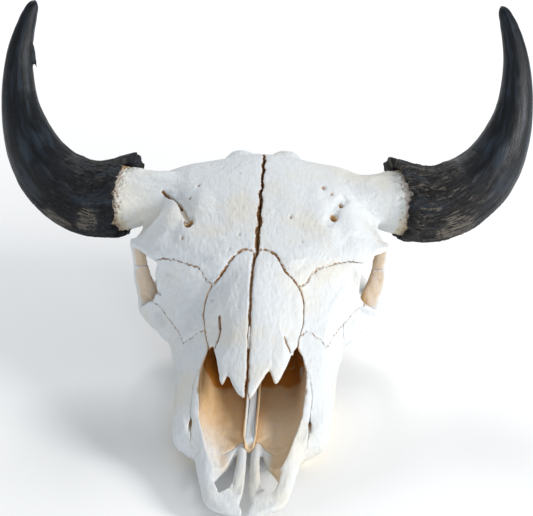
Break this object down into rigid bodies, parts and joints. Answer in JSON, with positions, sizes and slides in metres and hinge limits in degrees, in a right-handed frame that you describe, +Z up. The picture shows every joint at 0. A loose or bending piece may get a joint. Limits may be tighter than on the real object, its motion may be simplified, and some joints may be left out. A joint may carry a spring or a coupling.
{
  "type": "bison skull",
  "caption": "Dry bison skull without its lower jaw: broad forehead, open nasal cavity and dark horn sheaths that curve up, resting on its cheek teeth.",
  "frame": {"origin": "centre of the skull's box in plan, at the level of the floor that it lies on", "axes": "+X from horn to horn, towards the skull's own left; +Y from the muzzle to the back of the head; +Z up, away from the teeth"},
  "size_m": [0.6017, 0.5003, 0.3738],
  "materials": {
    "bone": "dry weathered bone, chalky, bluish white",
    "stained_bone": "bone stained tan to brown inside the nose",
    "horn": "blue-black keratin, half gloss, flaky at the base"
  },
  "bodies": {
    "root": {"premaxilla_left": "bone", "premaxilla_right": "bone", "nasal_left": "bone", "nasal_right": "bone", "maxilla_left": "bone", "maxilla_right": "bone", "lacrimal_left": "bone", "lacrimal_right": "bone", "zygomatic_left": "bone", "zygomatic_right": "bone", "frontal_left": "bone", "frontal_right": "bone", "temporal_left": "bone", "temporal_right": "bone", "palatine_left": "bone", "palatine_right": "bone", "sphenoid": "bone", "parietal": "bone", "occipital": "bone", "vomer": "stained_bone", "horn_sheath_left": "horn", "horn_sheath_right": "horn"}
  },
  "joints": []
}
